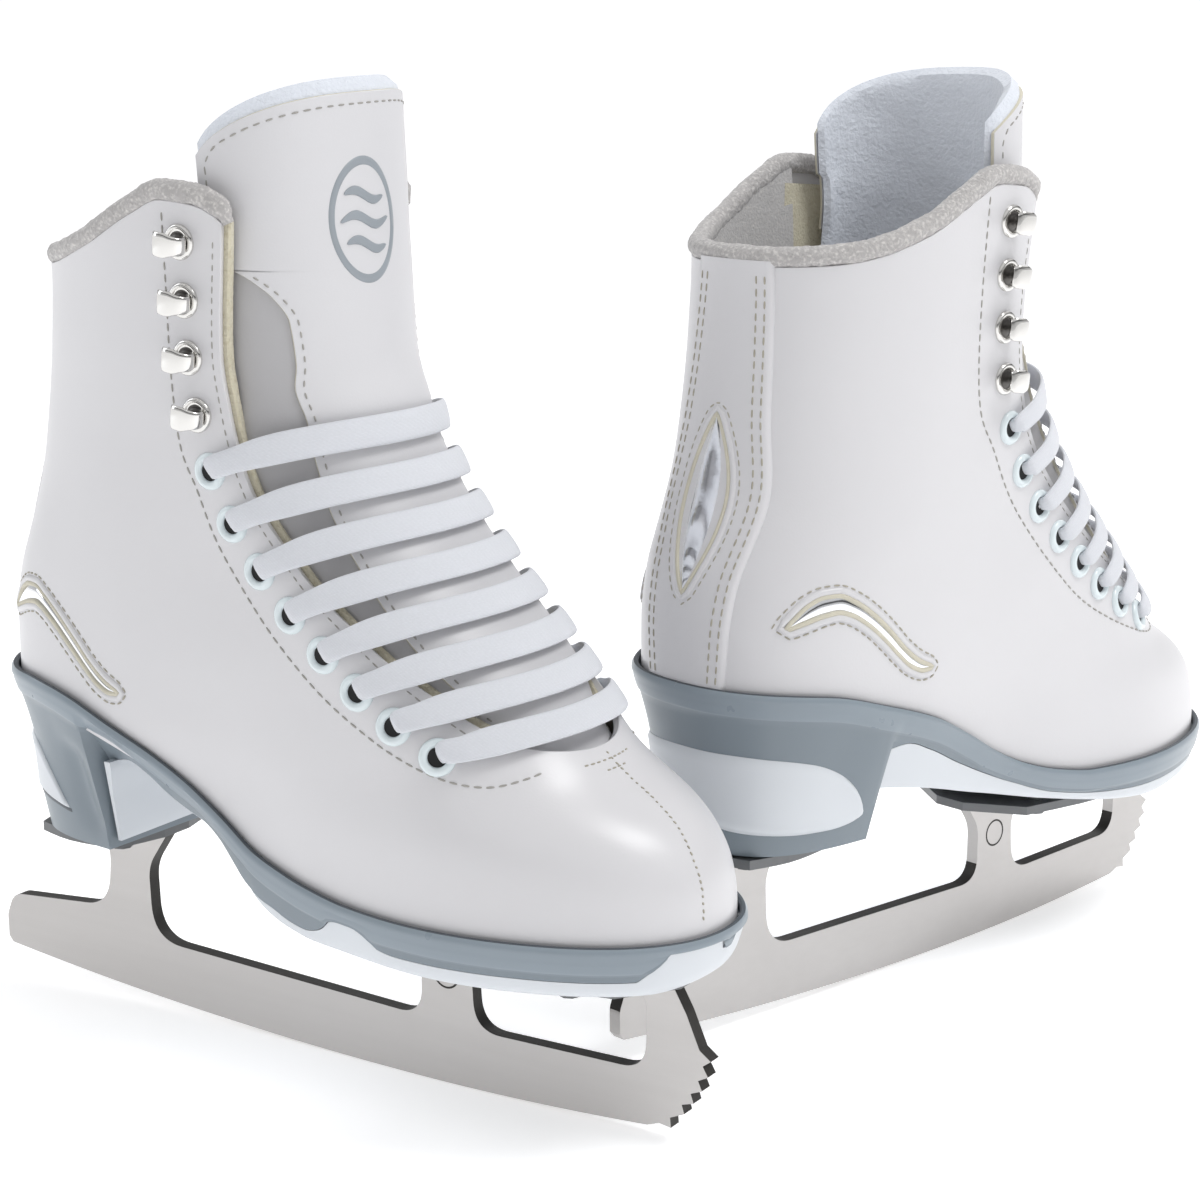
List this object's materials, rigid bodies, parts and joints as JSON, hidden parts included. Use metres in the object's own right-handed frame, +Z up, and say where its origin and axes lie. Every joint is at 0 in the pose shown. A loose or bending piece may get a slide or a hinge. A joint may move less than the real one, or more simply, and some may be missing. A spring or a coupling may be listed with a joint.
{
  "type": "pair of ice skates",
  "caption": "Pair of white lace-up figure skates: padded boots with hooks, eyelets and laces on moulded heeled soles, each with a toothed steel runner.",
  "frame": {"origin": "centre of the pair's footprint box, on the floor plane the blades stand on", "axes": "+X points to the right skate's toe, +Z up; the left skate stands beside it, its toe turned 75.87 degrees from +X towards +Y"},
  "size_m": [0.276, 0.3096, 0.2586],
  "materials": {
    "brushed_steel": "satin",
    "plated_steel": "satin",
    "zinc_screw": "satin",
    "moulded_grey_sole": "satin",
    "moulded_white_sole": "satin",
    "white_leather": "smooth satin",
    "white_backstay": "smooth satin",
    "grey_lining": "brushed",
    "footbed_foam": "matt",
    "grey_plush_collar": "brushed",
    "white_tongue": "smooth satin",
    "mirror_foil": "mirror foil",
    "nickel_hook": "polished",
    "white_enamel_eyelet": "gloss enamel",
    "white_flat_lace": "woven"
  },
  "bodies": {
    "right_skate": {"right_runner": "brushed_steel", "right_heel_plate": "plated_steel", "right_toe_plate": "plated_steel", "right_sole_rim": "moulded_grey_sole", "right_sole_underlayer": "moulded_white_sole", "right_toe_screw_1": "zinc_screw", "right_toe_screw_2": "zinc_screw", "right_toe_screw_3": "zinc_screw", "right_toe_screw_4": "zinc_screw", "right_heel_screw_1": "zinc_screw", "right_heel_screw_2": "zinc_screw", "right_heel_screw_3": "zinc_screw", "right_heel_panel_breast": "moulded_white_sole", "right_heel_panel_inner": "moulded_white_sole", "right_heel_panel_back": "moulded_white_sole", "right_footbed": "footbed_foam", "right_upper_shell": "white_leather", "right_lining": "grey_lining", "right_collar_roll": "grey_plush_collar", "right_backstay": "white_backstay", "right_heel_inset": "mirror_foil", "right_side_inset_outer": "mirror_foil", "right_side_inset_inner": "mirror_foil", "right_tongue_lower": "white_tongue", "right_hook_row_outer": "nickel_hook", "right_eyelet_row_outer": "white_enamel_eyelet", "right_hook_row_inner": "nickel_hook", "right_eyelet_row_inner": "white_enamel_eyelet", "right_lace": "white_flat_lace"},
    "right_tongue": {"right_tongue_upper": "white_tongue"},
    "left_skate": {"left_runner": "brushed_steel", "left_heel_plate": "plated_steel", "left_toe_plate": "plated_steel", "left_sole_rim": "moulded_grey_sole", "left_sole_underlayer": "moulded_white_sole", "left_toe_screw_1": "zinc_screw", "left_toe_screw_2": "zinc_screw", "left_toe_screw_3": "zinc_screw", "left_toe_screw_4": "zinc_screw", "left_heel_screw_1": "zinc_screw", "left_heel_screw_2": "zinc_screw", "left_heel_screw_3": "zinc_screw", "left_heel_panel_breast": "moulded_white_sole", "left_heel_panel_inner": "moulded_white_sole", "left_heel_panel_back": "moulded_white_sole", "left_footbed": "footbed_foam", "left_upper_shell": "white_leather", "left_lining": "grey_lining", "left_collar_roll": "grey_plush_collar", "left_backstay": "white_backstay", "left_heel_inset": "mirror_foil", "left_side_inset_outer": "mirror_foil", "left_side_inset_inner": "mirror_foil", "left_tongue_lower": "white_tongue", "left_hook_row_outer": "nickel_hook", "left_eyelet_row_outer": "white_enamel_eyelet", "left_hook_row_inner": "nickel_hook", "left_eyelet_row_inner": "white_enamel_eyelet", "left_lace": "white_flat_lace"},
    "left_tongue": {"left_tongue_upper": "white_tongue"}
  },
  "joints": [
    {"name": "right_tongue_bend", "type": "hinge", "parent": "right_skate", "child": "right_tongue", "pos_m": [0.00723, -0.1093, 0.176], "axis": [0, 1, 0], "range_deg": [0, 35], "stiffness_Nm_per_rad": 0.15},
    {"name": "left_skate_glide", "type": "slide", "parent": "right_skate", "child": "left_skate", "axis": [0.2441, 0.9697, 0], "range_m": [0, 0.3]},
    {"name": "left_tongue_bend", "type": "hinge", "parent": "left_skate", "child": "left_tongue", "pos_m": [0.08672, 0.06139, 0.176], "axis": [-0.9697, 0.2441, 0], "range_deg": [0, 35], "stiffness_Nm_per_rad": 0.15}
  ]
}
